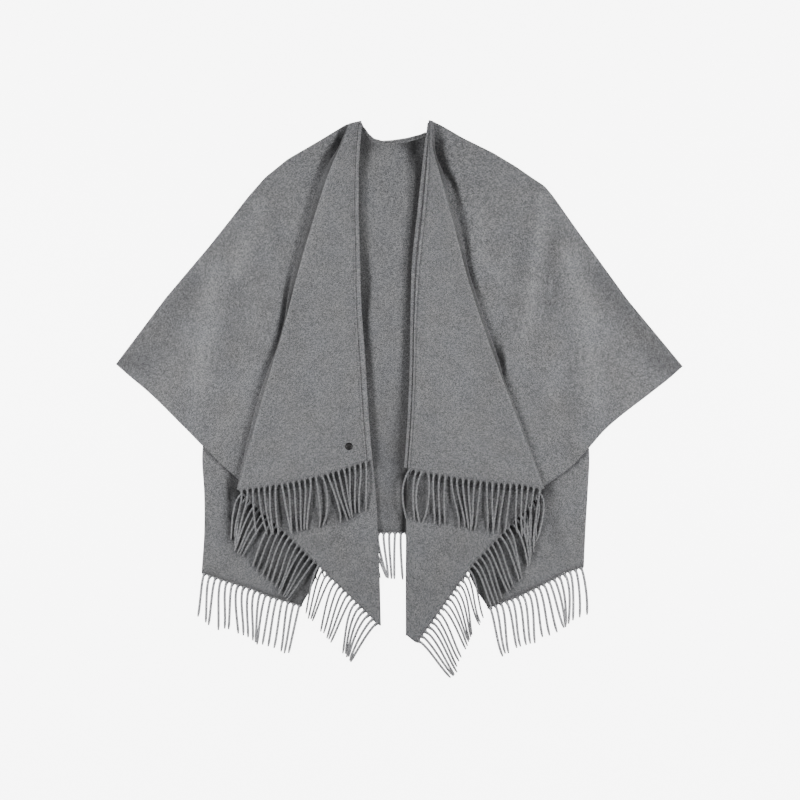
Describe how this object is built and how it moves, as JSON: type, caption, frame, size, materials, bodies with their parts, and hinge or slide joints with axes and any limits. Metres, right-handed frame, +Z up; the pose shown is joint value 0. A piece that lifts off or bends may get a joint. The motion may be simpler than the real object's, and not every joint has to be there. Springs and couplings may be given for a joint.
{
  "type": "fringed poncho wrap",
  "caption": "Open-front woven wool poncho wrap, folded and laid flat on its back, with turned front edges, twisted fringe on both hems and a small round stud.",
  "frame": {"origin": "middle of the outline on the surface that the garment lies on", "axes": "+Z up off that surface, +Y from the hem to the neck, +X to the right as seen from above with the neck at the top"},
  "size_m": [1.1316, 1.1136, 0.0225],
  "materials": {
    "wool": "brushed",
    "yarn": "twisted",
    "stud": "satin"
  },
  "bodies": {
    "root": {"back_panel": "wool", "front_left_panel": "wool", "front_right_panel": "wool", "front_left_band": "wool", "front_right_band": "wool", "neck_band": "wool", "fringe_left_turned": "yarn", "fringe_left_top": "yarn", "fringe_right_turned": "yarn", "fringe_right_top": "yarn", "fringe_back_left": "yarn", "fringe_back_right": "yarn", "fringe_back": "yarn", "stud": "stud"}
  },
  "joints": []
}
